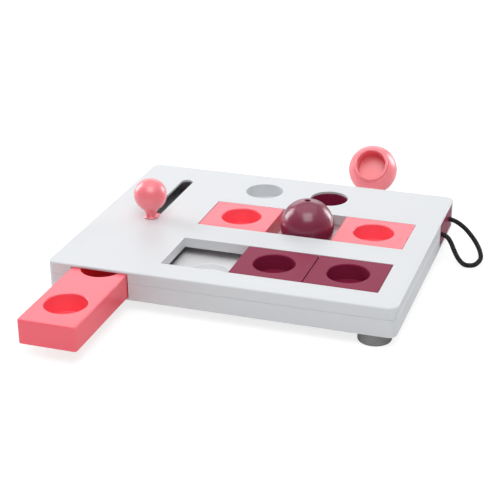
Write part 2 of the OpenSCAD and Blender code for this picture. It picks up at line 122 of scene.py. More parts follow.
# The table: a wide sheet of pale paper that the board stands on. The camera sees it as white, with
# the board's shadow on it, and shiny pieces mirror it a little fainter.
table_pale = 0.90
table_tone = 0.36
table_glow = 0.76
table_mirrored = 0.60
bpy.ops.object.select_all(action="DESELECT")
bpy.ops.mesh.primitive_plane_add(size=8)
table = bpy.context.object
table.name = "table"
paper = bpy.data.materials.new("table_white")
paper.use_nodes = True
nodes, links = paper.node_tree.nodes, paper.node_tree.links
nodes.clear()
ray = nodes.new("ShaderNodeLightPath")
pale = nodes.new("ShaderNodeBsdfDiffuse")
pale.inputs["Color"].default_value = (table_pale, table_pale, table_pale, 1)
shade = nodes.new("ShaderNodeBsdfDiffuse")
shade.inputs["Color"].default_value = (table_tone, table_tone, table_tone, 1)
glow = nodes.new("ShaderNodeEmission")
glow.inputs["Color"].default_value = (1, 1, 1, 1)
glow.inputs["Strength"].default_value = table_glow
lit = nodes.new("ShaderNodeAddShader")
links.new(shade.outputs[0], lit.inputs[0])
links.new(glow.outputs[0], lit.inputs[1])
faint = nodes.new("ShaderNodeBsdfDiffuse")
faint.inputs["Color"].default_value = (table_mirrored, table_mirrored, table_mirrored, 1)
mirrored = nodes.new("ShaderNodeMixShader")
links.new(ray.outputs["Is Glossy Ray"], mirrored.inputs["Fac"])
links.new(pale.outputs[0], mirrored.inputs[1])
links.new(faint.outputs[0], mirrored.inputs[2])
sheet = nodes.new("ShaderNodeMixShader")
links.new(ray.outputs["Is Camera Ray"], sheet.inputs["Fac"])
links.new(mirrored.outputs[0], sheet.inputs[1])
links.new(lit.outputs[0], sheet.inputs[2])
surface = nodes.new("ShaderNodeOutputMaterial")
links.new(sheet.outputs[0], surface.inputs["Surface"])
table.data.materials.append(paper)

# The lower half of the case: a white moulded tray with a flat rim, notched for both drawers.
# Ribs inside guide the drawers, and seven hollow posts take the screws from below.
board_l = 250 * mm
board_d = 200 * mm
z_bottom = 8.6 * mm
z_floor = 10 * mm
z_seam = 21.4 * mm
z_below_tray = 7.6 * mm
z_over_seam = 22.4 * mm
wall = 2.2 * mm
corner = 6 * mm
seam_edge = 0.3 * mm
case_edge = 0.35 * mm
lever_x = -85 * mm
rear_y = 69 * mm
notch_front = 42.8 * mm
notch_right = 44.8 * mm
notch_front_y = (-104 * mm, -95.6 * mm)
notch_right_x = (120.6 * mm, 129 * mm)
z_rooted = 9.3 * mm
z_rib = 18 * mm
lever_ribs_x = [(-107.7 * mm, -105.9 * mm), (-64.1 * mm, -62.3 * mm)]
lever_ribs_y = (-95.6 * mm, 82 * mm)
loop_ribs_x = (77.1 * mm, 120.6 * mm)
loop_ribs_y = [(91.1 * mm, 92.9 * mm), (45.1 * mm, 46.9 * mm)]
post_d = 7.6 * mm
post_places = [(x * mm, y * mm) for x, y in [
    (-116.4, -56.4), (-116.4, 69), (-55.6, -91.4), (81.45, -91.4),
    (-55.6, -20.2), (116.4, -20.2), (-2.4, 91.4)]]
head_seat_d = 6 * mm
z_head_seat = 11.2 * mm
screw_way_d = 3.3 * mm
foot_places = [(sx * 108.6 * mm, sy * 87.8 * mm) for sy in (-1, 1) for sx in (-1, 1)]
foot_seat_d = 14.1 * mm
z_foot_seat = 9.2 * mm
hair = 1e-6
coarse_weld = 0.03 * mm
fine_weld = 0.006 * mm


def put_down():
    if bpy.context.object and bpy.context.object.mode != "OBJECT":
        bpy.ops.object.mode_set(mode="OBJECT")
    bpy.ops.object.select_all(action="DESELECT")


def take_up(piece):
    put_down()
    piece.select_set(True)
    bpy.context.view_layer.objects.active = piece


def block(name, low, high):
    put_down()
    low, high = Vector(low), Vector(high)
    bpy.ops.mesh.primitive_cube_add(size=1, location=(low + high) / 2)
    piece = bpy.context.object
    piece.name = piece.data.name = name
    piece.scale = high - low
    bpy.ops.object.transform_apply(location=True, rotation=True, scale=True)
    return piece


def drum(name, x, y, d, z0, z1, sides=96):
    put_down()
    bpy.ops.mesh.primitive_cylinder_add(vertices=sides, radius=d / 2, depth=z1 - z0,
                                        location=(x, y, (z0 + z1) / 2))
    piece = bpy.context.object
    piece.name = piece.data.name = name
    bpy.ops.object.transform_apply(location=True, rotation=True, scale=True)
    return piece


def pick_edges(piece, wanted):
    """Opens the piece for editing with only the wanted edges picked, by their two ends."""
    take_up(piece)
    bpy.ops.object.mode_set(mode="EDIT")
    bpy.ops.mesh.select_mode(type="EDGE")
    bpy.ops.mesh.select_all(action="DESELECT")
    bpy.ops.object.mode_set(mode="OBJECT")
    points = piece.data.vertices
    for edge in piece.data.edges:
        a, b = edge.vertices
        edge.select = wanted(points[a].co, points[b].co)
    bpy.ops.object.mode_set(mode="EDIT")


def pick_faces(piece, wanted):
    """Opens the piece for editing with only the wanted faces picked, by their middle and normal."""
    take_up(piece)
    bpy.ops.object.mode_set(mode="EDIT")
    bpy.ops.mesh.select_mode(type="FACE")
    bpy.ops.mesh.select_all(action="DESELECT")
    bpy.ops.object.mode_set(mode="OBJECT")
    for face in piece.data.polygons:
        face.select = wanted(face.center, face.normal)
    bpy.ops.object.mode_set(mode="EDIT")


def is_upright(a, b):
    return abs(a.x - b.x) < hair and abs(a.y - b.y) < hair


def lies_at(z):
    return lambda a, b: abs(a.z - z) < hair and abs(b.z - z) < hair


def round_corners(piece, radius, segments):
    pick_edges(piece, is_upright)
    bpy.ops.mesh.bevel(offset=radius, segments=segments, affect="EDGES")
    put_down()


def round_rim(piece, z, radius, segments):
    pick_edges(piece, lies_at(z))
    bpy.ops.mesh.bevel(offset=radius, segments=segments, affect="EDGES")
    put_down()


def sink(piece, z, margin, depth):
    """Insets the flat face at height z by a margin and pushes it in or out by a depth."""
    pick_faces(piece, lambda middle, normal: abs(middle.z - z) < hair and abs(normal.z) > 0.9)
    bpy.ops.mesh.inset(thickness=margin)
    bpy.ops.mesh.extrude_region_move(TRANSFORM_OT_translate={"value": (0, 0, depth)})
    put_down()


def as_one(parts):
    put_down()
    for part in parts:
        part.select_set(True)
    bpy.context.view_layer.objects.active = parts[0]
    if len(parts) > 1:
        bpy.ops.object.join()
    return bpy.context.object


def combine(piece, parts, how):
    """Fuses parts to the piece, or cuts them out of it, and takes the parts away."""
    tool = as_one(parts)
    take_up(piece)
    step = piece.modifiers.new("combine", "BOOLEAN")
    step.operation = how
    step.solver = "EXACT"
    step.object = tool
    bpy.ops.object.modifier_apply(modifier=step.name)
    bpy.data.objects.remove(tool)


def fuse(piece, *parts):
    combine(piece, list(parts), "UNION")


def cut(piece, *parts):
    combine(piece, list(parts), "DIFFERENCE")


def even_out(piece):
    """Shades round forms smooth and keeps the flats even."""
    take_up(piece)
    bpy.ops.object.shade_smooth_by_angle(angle=radians(40))
    flats = piece.modifiers.new("flats", "WEIGHTED_NORMAL")
    flats.keep_sharp = True
    bpy.ops.object.modifier_apply(modifier=flats.name)


def weld(piece, reach):
    """Joins points that lie within reach of each other, and mends the slivers and small gaps there."""
    take_up(piece)
    bpy.ops.object.mode_set(mode="EDIT")
    bpy.ops.mesh.select_all(action="SELECT")
    bpy.ops.mesh.remove_doubles(threshold=reach)
    bpy.ops.mesh.dissolve_degenerate(threshold=reach / 2)
    bpy.ops.mesh.fill_holes(sides=8)
    bpy.ops.object.mode_set(mode="OBJECT")


def soften(piece, width, segments=2):
    """Rounds every crisp edge a little, as a mould does."""
    weld(piece, coarse_weld)
    round_over = piece.modifiers.new("soften", "BEVEL")
    round_over.width = width
    round_over.segments = segments
    round_over.limit_method = "ANGLE"
    round_over.angle_limit = radians(38)
    bpy.ops.object.modifier_apply(modifier=round_over.name)
    weld(piece, fine_weld)
    even_out(piece)


def drawer_notches(z0, z1):
    """Cutters for both drawers' ways, through the front wall and through the right wall."""
    (y0, y1), (x0, x1) = notch_front_y, notch_right_x
    return [block("notch", (lever_x - notch_front / 2, y0, z0), (lever_x + notch_front / 2, y1, z1)),
            block("notch", (x0, rear_y - notch_right / 2, z0), (x1, rear_y + notch_right / 2, z1))]


tray = block("case_tray", (-board_l / 2, -board_d / 2, z_bottom), (board_l / 2, board_d / 2, z_seam))
round_corners(tray, corner, segments=12)
round_rim(tray, z_seam, seam_edge, segments=1)
sink(tray, z_seam, wall - seam_edge, z_floor - z_seam)
cut(tray, *drawer_notches(z_floor, z_over_seam))
ribs = [*[(x0, x1, *lever_ribs_y) for x0, x1 in lever_ribs_x],
        *[(*loop_ribs_x, y0, y1) for y0, y1 in loop_ribs_y]]
fuse(tray,
     *[block("rib", (x0, y0, z_rooted), (x1, y1, z_rib)) for x0, x1, y0, y1 in ribs],
     *[drum("post", x, y, post_d, z_rooted, z_seam, sides=40) for x, y in post_places])
cut(tray,
    *[drum("head_seat", x, y, head_seat_d, z_below_tray, z_head_seat, sides=48)
      for x, y in post_places],
    *[drum("foot_seat", x, y, foot_seat_d, z_below_tray, z_foot_seat, sides=64)
      for x, y in foot_places])
cut(tray, *[drum("bore", x, y, screw_way_d, z_floor, z_over_seam, sides=32) for x, y in post_places])
soften(tray, case_edge)


def moulded_skin():
    """Colour, gloss and fine grain of a moulded plastic: a slow drift of tone from the melt,
    a spark-eroded grain, faint rub marks, and edges that handling has polished. The edges are
    also lightened in colour, partly wear and partly a painted highlight along them."""
    group = bpy.data.node_groups.new("moulded_skin", "ShaderNodeTree")
    sockets = group.interface
    for name, kind in [("Colour", "NodeSocketColor"), ("Edge Wear And Highlight", "NodeSocketColor"),
                       ("Drift", "NodeSocketFloat"), ("Roughness", "NodeSocketFloat"),
                       ("Gloss Spread", "NodeSocketFloat"), ("Grain Size", "NodeSocketFloat"),
                       ("Edge Width", "NodeSocketFloat")]:
        sockets.new_socket(name=name, in_out="INPUT", socket_type=kind)
    for name, kind in [("Colour", "NodeSocketColor"), ("Roughness", "NodeSocketFloat"),
                       ("Grain", "NodeSocketFloat")]:
        sockets.new_socket(name=name, in_out="OUTPUT", socket_type=kind)
    nodes, links = group.nodes, group.links
    given = nodes.new("NodeGroupInput")
    result = nodes.new("NodeGroupOutput")
    place = nodes.new("ShaderNodeTexCoord")

    drift = nodes.new("ShaderNodeTexNoise")
    drift.inputs["Scale"].default_value = 26
    drift.inputs["Detail"].default_value = 3
    links.new(place.outputs["Object"], drift.inputs["Vector"])
    drift_step = nodes.new("ShaderNodeMath")
    drift_step.operation = "SUBTRACT"
    drift_step.inputs[1].default_value = 0.5
    links.new(drift.outputs["Fac"], drift_step.inputs[0])
    drift_share = nodes.new("ShaderNodeMath")
    drift_share.operation = "MULTIPLY_ADD"
    drift_share.inputs[2].default_value = 1
    links.new(drift_step.outputs[0], drift_share.inputs[0])
    links.new(given.outputs["Drift"], drift_share.inputs[1])
    toned = nodes.new("ShaderNodeVectorMath")
    toned.operation = "SCALE"
    links.new(given.outputs["Colour"], toned.inputs[0])
    links.new(drift_share.outputs[0], toned.inputs["Scale"])

    # The rounded edges, found by a bevel mask and broken by a wear noise, are lightened in colour:
    # partly wear, partly a painted highlight along the edges. The same mask makes them less rough.
    rounded = nodes.new("ShaderNodeBevel")
    rounded.samples = 4
    links.new(given.outputs["Edge Width"], rounded.inputs["Radius"])
    true_face = nodes.new("ShaderNodeNewGeometry")
    turn = nodes.new("ShaderNodeVectorMath")
    turn.operation = "DOT_PRODUCT"
    links.new(rounded.outputs["Normal"], turn.inputs[0])
    links.new(true_face.outputs["Normal"], turn.inputs[1])
    edge = nodes.new("ShaderNodeMapRange")
    edge.inputs["From Min"].default_value = 0.995
    edge.inputs["From Max"].default_value = 0.86
    edge.inputs["To Min"].default_value = 0
    edge.inputs["To Max"].default_value = 0.55
    links.new(turn.outputs["Value"], edge.inputs["Value"])
    worn = nodes.new("ShaderNodeTexNoise")
    worn.inputs["Scale"].default_value = 190
    worn.inputs["Detail"].default_value = 4
    links.new(place.outputs["Object"], worn.inputs["Vector"])
    edge_wear_and_highlight_mask = nodes.new("ShaderNodeMath")
    edge_wear_and_highlight_mask.operation = "MULTIPLY"
    links.new(edge.outputs["Result"], edge_wear_and_highlight_mask.inputs[0])
    links.new(worn.outputs["Fac"], edge_wear_and_highlight_mask.inputs[1])
    worn_and_highlighted = nodes.new("ShaderNodeMix")
    worn_and_highlighted.data_type = "RGBA"
    links.new(edge_wear_and_highlight_mask.outputs[0], worn_and_highlighted.inputs["Factor"])
    links.new(toned.outputs["Vector"], worn_and_highlighted.inputs[6])
    links.new(given.outputs["Edge Wear And Highlight"], worn_and_highlighted.inputs[7])
    links.new(worn_and_highlighted.outputs[2], result.inputs["Colour"])

    rubbed = nodes.new("ShaderNodeTexNoise")
    rubbed.inputs["Scale"].default_value = 75
    rubbed.inputs["Detail"].default_value = 6
    rubbed.inputs["Roughness"].default_value = 0.7
    links.new(place.outputs["Object"], rubbed.inputs["Vector"])
    rub_step = nodes.new("ShaderNodeMath")
    rub_step.operation = "SUBTRACT"
    rub_step.inputs[1].default_value = 0.5
    links.new(rubbed.outputs["Fac"], rub_step.inputs[0])
    gloss = nodes.new("ShaderNodeMath")
    gloss.operation = "MULTIPLY_ADD"
    links.new(rub_step.outputs[0], gloss.inputs[0])
    links.new(given.outputs["Gloss Spread"], gloss.inputs[1])
    links.new(given.outputs["Roughness"], gloss.inputs[2])
    polish = nodes.new("ShaderNodeMath")
    polish.operation = "MULTIPLY_ADD"
    polish.inputs[1].default_value = -0.12
    links.new(edge_wear_and_highlight_mask.outputs[0], polish.inputs[0])
    links.new(gloss.outputs[0], polish.inputs[2])
    links.new(polish.outputs[0], result.inputs["Roughness"])

    fineness = nodes.new("ShaderNodeMath")
    fineness.operation = "DIVIDE"
    fineness.inputs[0].default_value = 1
    links.new(given.outputs["Grain Size"], fineness.inputs[1])
    grain = nodes.new("ShaderNodeTexNoise")
    grain.inputs["Detail"].default_value = 2
    links.new(fineness.outputs[0], grain.inputs["Scale"])
    links.new(place.outputs["Object"], grain.inputs["Vector"])
    links.new(grain.outputs["Fac"], result.inputs["Grain"])
    return group


skin = moulded_skin()


# Each finish's edge colour is lighter than its body colour: a painted highlight along the edges, mixed
# with wear.
def moulded(name, colour, edge_wear_and_highlight, drift, roughness, gloss_spread, grain_size, grain_height,
            shine=0.5, coat=0.0, coat_roughness=0.2, ior=1.49, edge_width=0.5 * mm,
            relief_strength=0.35):
    """A moulded finish, plastic or rubber, with its own values of the shared skin."""
    finish = bpy.data.materials.new(name)
    finish.use_nodes = True
    nodes, links = finish.node_tree.nodes, finish.node_tree.links
    body = nodes["Principled BSDF"]
    body.inputs["IOR"].default_value = ior
    body.inputs["Specular IOR Level"].default_value = shine
    body.inputs["Coat Weight"].default_value = coat
    body.inputs["Coat Roughness"].default_value = coat_roughness
    layer = nodes.new("ShaderNodeGroup")
    layer.node_tree = skin
    layer.inputs["Colour"].default_value = colour
    layer.inputs["Edge Wear And Highlight"].default_value = edge_wear_and_highlight
    layer.inputs["Drift"].default_value = drift
    layer.inputs["Roughness"].default_value = roughness
    layer.inputs["Gloss Spread"].default_value = gloss_spread
    layer.inputs["Grain Size"].default_value = grain_size
    layer.inputs["Edge Width"].default_value = edge_width
    relief = nodes.new("ShaderNodeBump")
    relief.inputs["Strength"].default_value = relief_strength
    relief.inputs["Distance"].default_value = grain_height
    links.new(layer.outputs["Grain"], relief.inputs["Height"])
    links.new(layer.outputs["Colour"], body.inputs["Base Color"])
    links.new(layer.outputs["Roughness"], body.inputs["Roughness"])
    links.new(relief.outputs["Normal"], body.inputs["Normal"])
    return finish


shell_white = moulded("shell_white", colour=(0.68, 0.695, 0.713, 1), edge_wear_and_highlight=(0.80, 0.81, 0.82, 1),
                      drift=0.035, roughness=0.40, gloss_spread=0.10, grain_size=0.55 * mm,
                      grain_height=0.035 * mm, shine=0.4)
tray.data.materials.append(shell_white)
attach(tray, "case")
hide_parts("bottom_tray")

# The feet: four round grey rubber pads with a softened lower rim and a shallow ring underneath,
# each pushed by its boss into a seat in the tray.
foot_d = 23.2 * mm
foot_rim = 1.2 * mm
foot_edge = 0.25 * mm
ring_margin = 4.5 * mm
ring_depth = 0.6 * mm
boss_d = 14 * mm
boss_h = 0.6 * mm


def copy_to(pattern, name, place, tilt=(0, 0, 0)):
    """A copy of the pattern, with its own mesh, set down at its place."""
    take_up(pattern)
    bpy.ops.object.duplicate()
    piece = bpy.context.object
    piece.name = piece.data.name = name
    piece.location = place
    piece.rotation_euler = tilt
    bpy.ops.object.transform_apply(location=True, rotation=True, scale=True)
    return piece


foot_pattern = drum("foot_pattern", 0, 0, foot_d, 0, z_bottom, sides=72)
round_rim(foot_pattern, 0, foot_rim, segments=4)
sink(foot_pattern, 0, ring_margin, ring_depth)
sink(foot_pattern, z_bottom, (foot_d - boss_d) / 2, boss_h)
soften(foot_pattern, foot_edge)
rubber = moulded("foot_rubber", colour=(0.235, 0.228, 0.231, 1), edge_wear_and_highlight=(0.48, 0.475, 0.48, 1),
                 drift=0.12, roughness=0.62, gloss_spread=0.18, grain_size=0.35 * mm,
                 grain_height=0.05 * mm, ior=1.5, edge_width=0.6 * mm, relief_strength=0.5)
foot_names = ["foot_front_left", "foot_front_right", "foot_rear_left", "foot_rear_right"]
for node_name, (x, y) in zip(foot_names, foot_places):
    foot = copy_to(foot_pattern, "rubber_" + node_name, (x, y, 0))
    foot.data.materials.append(rubber)
    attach(foot, "case")
    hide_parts(node_name)
bpy.data.objects.remove(foot_pattern)

# The screws: zinc plated steel, turned and plated, seven from below through the tray's posts and
# one through the lever drawer. They keep their own solids, with a plated finish.
zinc = bpy.data.materials.new("screw_zinc")
zinc.use_nodes = True
nodes, links = zinc.node_tree.nodes, zinc.node_tree.links
body = nodes["Principled BSDF"]
body.inputs["Metallic"].default_value = 1
place = nodes.new("ShaderNodeTexCoord")
plating = nodes.new("ShaderNodeTexNoise")
plating.inputs["Scale"].default_value = 900
plating.inputs["Detail"].default_value = 5
links.new(place.outputs["Object"], plating.inputs["Vector"])
shades = nodes.new("ShaderNodeValToRGB")
shades.color_ramp.elements[0].color = (0.50, 0.52, 0.55, 1)
shades.color_ramp.elements[1].color = (0.72, 0.73, 0.74, 1)
links.new(plating.outputs["Fac"], shades.inputs["Fac"])
links.new(shades.outputs["Color"], body.inputs["Base Color"])
dullness = nodes.new("ShaderNodeMapRange")
dullness.inputs["To Min"].default_value = 0.22
dullness.inputs["To Max"].default_value = 0.42
links.new(plating.outputs["Fac"], dullness.inputs["Value"])
links.new(dullness.outputs["Result"], body.inputs["Roughness"])
turned = nodes.new("ShaderNodeBump")
turned.inputs["Strength"].default_value = 0.3
turned.inputs["Distance"].default_value = 0.02 * mm
links.new(plating.outputs["Fac"], turned.inputs["Height"])
links.new(turned.outputs["Normal"], body.inputs["Normal"])
for node_name in ("case_screws", "lever_screw"):
    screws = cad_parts[node_name]
    screws.data.materials.clear()
    screws.data.materials.append(zinc)

# The tracks: two white moulded floors that the tiles run on, clamped between the case's halves by
# a wall at the right end and one on the outer side. Each has three round treat hollows.
row_x = 30.5 * mm
rows = {"front_track": -56.4 * mm, "middle_track": 16 * mm}
between_y = -20.2 * mm
z_plate = 28.2 * mm
z_top = 30 * mm
z_track = 16 * mm
z_over_track = 17 * mm
track_l = 162 * mm
track_t = 1.6 * mm
track_reach = 27.65 * mm
track_gap = 0.3 * mm
track_edge = 0.4 * mm
hollow_places = [-20.45 * mm, 30.5 * mm, 81.45 * mm]
hollow_d = 29.2 * mm
hollow_wall_d = 32.4 * mm
z_hollow = 11.4 * mm
z_hollow_wall = 15.2 * mm
clear = 2 * mm


def row_track(name, y):
    """A floor from the row's outer wall to the gap between the two rows."""
    toward = 1 if y < between_y else -1
    outer = y - toward * track_reach
    inner = between_y - toward * track_gap
    left, right = row_x - track_l / 2, row_x + track_l / 2
    track = block(name, (left, min(outer, inner), z_track - track_t),
                  (right, max(outer, inner), z_plate))
    wall_face, past_inner = outer + toward * track_t, inner + toward * clear
    cut(track, block("room", (left - clear, min(wall_face, past_inner), z_track),
                     (right - track_t, max(wall_face, past_inner), z_top)))
    fuse(track, *[drum("hollow_wall", x, y, hollow_wall_d, z_floor, z_hollow_wall)
                  for x in hollow_places])
    cut(track, *[drum("hollow", x, y, hollow_d, z_hollow, z_over_track) for x in hollow_places])
    soften(track, track_edge, segments=3)
    return track


# The tracks' white is lighter than the shell's white: painted light, so that the floors deep in the
# windows come out as bright as the top.
track_white_with_painted_light = moulded("track_white_with_painted_light", colour=(0.88, 0.89, 0.90, 1), edge_wear_and_highlight=(0.90, 0.905, 0.91, 1),
                      drift=0.03, roughness=0.34, gloss_spread=0.10, grain_size=0.5 * mm,
                      grain_height=0.02 * mm)
for node_name, y in rows.items():
    track = row_track("row_" + node_name, y)
    track.data.materials.append(track_white_with_painted_light)
    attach(track, "case")
    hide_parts(node_name)

# The upper half of the case: a white moulded shell with a rounded top edge. It has two row windows
# with skirts that keep the tiles down, the lever's slot, two round holes and a well under the left one.
# Seven posts under its plate take the screws that come up through the tray.
top_edge = 1.2 * mm
z_skirt = 22.6 * mm
skirt_t = 1.6 * mm
window_l = 155 * mm
window_w = 46.1 * mm
window_corner = 0.6 * mm
hole_d = 29 * mm
left_hole_x = -19.4 * mm
right_hole_x = 33.1 * mm
z_well = 20 * mm
well_t = 1.6 * mm
slot_w = 9.5 * mm
slot_y = (-9.75 * mm, 73.75 * mm)
slot_end_r = slot_w / 2 - 0.01 * mm
screw_bore_d = 3 * mm
z_in_plate = 29.1 * mm
z_under_plate = 27 * mm
z_under_skirt = 22 * mm
z_under_seam = 20 * mm
z_over_top = 31 * mm
shell = block("case_shell", (-board_l / 2, -board_d / 2, z_seam), (board_l / 2, board_d / 2, z_top))
round_corners(shell, corner, segments=12)
round_rim(shell, z_top, top_edge, segments=5)
round_rim(shell, z_seam, seam_edge, segments=1)
sink(shell, z_seam, wall - seam_edge, z_plate - z_seam)
for y in rows.values():
    skirt_l, skirt_w = window_l / 2 + skirt_t, window_w / 2 + skirt_t
    fuse(shell, block("skirt", (row_x - skirt_l, y - skirt_w, z_skirt),
                      (row_x + skirt_l, y + skirt_w, z_in_plate)))
fuse(shell, drum("well", left_hole_x, rear_y, hole_d + 2 * well_t, z_well - well_t, z_in_plate),
     *[drum("post", x, y, post_d, z_seam, z_in_plate, sides=48) for x, y in post_places])
for y in rows.values():
    window = block("window", (row_x - window_l / 2, y - window_w / 2, z_under_skirt),
                   (row_x + window_l / 2, y + window_w / 2, z_over_top))
    round_corners(window, window_corner, segments=3)
    cut(shell, window)
lever_slot = block("slot", (lever_x - slot_w / 2, slot_y[0], z_under_plate),
                   (lever_x + slot_w / 2, slot_y[1], z_over_top))
round_corners(lever_slot, slot_end_r, segments=16)
cut(shell, lever_slot)
cut(shell, drum("well_bore", left_hole_x, rear_y, hole_d, z_well, z_over_top),
    drum("hole", right_hole_x, rear_y, hole_d, z_under_plate, z_over_top))
cut(shell, *drawer_notches(z_under_seam, z_plate))
cut(shell, *[drum("bore", x, y, screw_bore_d, z_under_seam, z_plate, sides=32) for x, y in post_places])
soften(shell, case_edge, segments=3)
shell.data.materials.append(shell_white)
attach(shell, "case")
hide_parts("top_shell")

# The drawers: one pink, in the front, and one maroon, in the right side. Each is moulded in one
# piece, open below, with two bowls; a running gap lets it slide on the tray between its ribs.
z_drawer = 10.3 * mm
z_drawer_top = 27.9 * mm
drawer_wall = 1.8 * mm
drawer_corner = 2 * mm
drawer_rim = 1 * mm
drawer_edge = 0.4 * mm
bowl_d = 29.2 * mm
bowl_depth = 13.4 * mm
bowl_wall = 1.6 * mm
lip = 0.9 * mm
lip_over = 0.02 * mm
mouth_reach = 8 * mm
socket_wall_d = 12.7 * mm
z_socket_wall = 17.7 * mm
high_up = 40 * mm


def carry(steps, x, y):
    """Draws the picked face or ring on through (radius, height) steps round an upright axis."""
    for (r0, z0), (r1, z1) in zip(steps, steps[1:]):
        bpy.ops.mesh.extrude_region_move(TRANSFORM_OT_translate={"value": (0, 0, z1 - z0)})
        bpy.ops.transform.resize(value=(r1 / r0, r1 / r0, 1), center_override=(x, y, z1))


def bowl_cutter(x, y, d, z_bowl, z_mouth):
    """The form of a bowl: a drum whose upper end flares out into a rounded lip."""
    cutter = drum("bowl", x, y, d, z_bowl, z_mouth - lip)
    pick_faces(cutter, lambda middle, normal: normal.z > 0.9)
    turns = [radians(15 * k) for k in range(7)]
    steps = [(d / 2 + lip * (1 - cos(t)), z_mouth + lip_over - lip * (1 - sin(t))) for t in turns]
    steps[0] = (d / 2, z_mouth - lip)
    carry(steps + [(d / 2 + lip, z_mouth + mouth_reach)], x, y)
    put_down()
    return cutter


def drawer(name, low, high, bowls, sockets=()):
    """A hollow box with round bowls let into its top, and posts below where something is fixed."""
    box = block(name, (*low, z_drawer), (*high, z_drawer_top))
    round_corners(box, drawer_corner, segments=6)
    round_rim(box, z_drawer_top, drawer_rim, segments=4)
    z_bowl = z_drawer_top - bowl_depth
    bowl_wall_d = bowl_d + 2 * bowl_wall
    hollow = block("hollow", (low[0] + drawer_wall, low[1] + drawer_wall, z_drawer - clear),
                   (high[0] - drawer_wall, high[1] - drawer_wall, z_drawer_top - drawer_wall))
    cut(hollow,
        *[drum("bowl_wall", x, y, bowl_wall_d, z_bowl - bowl_wall, high_up) for x, y in bowls],
        *[drum("socket_wall", x, y, socket_wall_d, z_socket_wall, high_up, sides=48)
          for x, y in sockets])
    cut(box, hollow)
    for x, y in bowls:
        cut(box, bowl_cutter(x, y, bowl_d, z_bowl, z_drawer_top))
    return box


pink = moulded("pink_plastic", colour=(1.0, 0.120, 0.163, 1), edge_wear_and_highlight=(1.0, 0.30, 0.33, 1),
               drift=0.04, roughness=0.36, gloss_spread=0.10, grain_size=0.6 * mm,
               grain_height=0.025 * mm, shine=0.7, coat=0.3, coat_roughness=0.25)
lever_drawer_x = (-105.8 * mm, -64.2 * mm)
lever_drawer_y = (-182 * mm, 8 * mm)
lever_bowls = [(lever_x, -152 * mm), (lever_x, -94.4 * mm)]
lever_y = -5 * mm
socket_d = 8.4 * mm
z_socket = 19.9 * mm
z_screw_way = (16 * mm, 22 * mm)
lever_drawer = drawer("pink_drawer", (lever_drawer_x[0], lever_drawer_y[0]),
                      (lever_drawer_x[1], lever_drawer_y[1]), lever_bowls, [(lever_x, lever_y)])
cut(lever_drawer, drum("socket", lever_x, lever_y, socket_d, z_socket, z_top, sides=48))
cut(lever_drawer, drum("screw_hole", lever_x, lever_y, screw_way_d, *z_screw_way, sides=32))
soften(lever_drawer, drawer_edge, segments=3)
lever_drawer.data.materials.append(pink)
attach(lever_drawer, "lever_drawer")
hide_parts("lever_drawer")

maroon = moulded("maroon_plastic", colour=(0.250, 0.018, 0.060, 1), edge_wear_and_highlight=(0.42, 0.10, 0.15, 1),
                 drift=0.10, roughness=0.38, gloss_spread=0.10, grain_size=0.6 * mm,
                 grain_height=0.02 * mm, shine=0.12)
loop_drawer_x = (12.8 * mm, 124.8 * mm)
loop_drawer_half_w = 21.8 * mm
loop_bowls = [(90.7 * mm, rear_y), (right_hole_x, rear_y)]
lug_x = (15 * mm, 16.8 * mm)
lugs_y = [(20.9 * mm, 23.5 * mm), (-23.5 * mm, -20.9 * mm)]
cord_d = 3.6 * mm
cord_room = 0.3 * mm
cord_exits = [(83 * mm, 18.5 * mm), (53.5 * mm, 18.5 * mm)]
cord_hole_x = 124 * mm
cord_hole_l = 8 * mm
loop_drawer = drawer("maroon_drawer", (loop_drawer_x[0], rear_y - loop_drawer_half_w),
                     (loop_drawer_x[1], rear_y + loop_drawer_half_w), loop_bowls)
fuse(loop_drawer, *[block("lug", (lug_x[0], rear_y + y0, z_drawer), (lug_x[1], rear_y + y1, z_rib))
                    for y0, y1 in lugs_y])
for y, z in cord_exits:
    put_down()
    bpy.ops.mesh.primitive_cylinder_add(vertices=48, radius=cord_d / 2 + cord_room, depth=cord_hole_l,
                                        location=(cord_hole_x, y, z), rotation=(0, radians(90), 0))
    cord_hole = bpy.context.object
    bpy.ops.object.transform_apply(location=True, rotation=True, scale=True)
    cut(loop_drawer, cord_hole)
soften(loop_drawer, drawer_edge, segments=3)
loop_drawer.data.materials.append(maroon)
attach(loop_drawer, "loop_drawer")
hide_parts("loop_drawer")

# The pull cord: a black braided cord, limp, threaded through two holes in the maroon drawer's face
# and knotted behind it. Sixteen yarns cross over and under each other round a soft core.
# The points of its route are in metres.
cord_route = [
    (0.1198, 0.0830, 0.0185), (0.1263, 0.0830, 0.0185), (0.1328, 0.0805, 0.0172),
    (0.1393, 0.0760, 0.0148), (0.1453, 0.0700, 0.0118), (0.1503, 0.0635, 0.0088),
    (0.1538, 0.0570, 0.0060), (0.1553, 0.0505, 0.0038), (0.1536, 0.0445, 0.0024),
    (0.1508, 0.0410, 0.0020), (0.1453, 0.0390, 0.0028), (0.1403, 0.0410, 0.0060),
    (0.1363, 0.0450, 0.0102), (0.1328, 0.0495, 0.0142), (0.1293, 0.0525, 0.0170),
    (0.1248, 0.0535, 0.0185), (0.1198, 0.0535, 0.0185)]
cord_step = 0.25 * mm
cord_sides = 48
yarns_each_way = 8
yarn_pitch = 1.5 * mm
yarn_rise = 0.28 * mm
wrap_l = 100 * mm


def smooth_line(points, step, parts=40):
    """Points a step apart on a smooth curve through the given ones."""
    points = [Vector(p) for p in points]
    ends = [2 * points[0] - points[1], *points, 2 * points[-1] - points[-2]]
    fine = []
    for a, b, c, d in zip(ends, ends[1:], ends[2:], ends[3:]):
        for k in range(parts):
            t = k / parts
            fine.append(0.5 * (2 * b + (c - a) * t + (2 * a - 5 * b + 4 * c - d) * t * t
                               + (3 * b - a - 3 * c + d) * t * t * t))
    fine.append(points[-1])
    line, left = [fine[0]], step
    for a, b in zip(fine, fine[1:]):
        while (b - a).length >= left:
            a = a + (b - a).normalized() * left
            line.append(a)
            left = step
        left -= (b - a).length
    return line


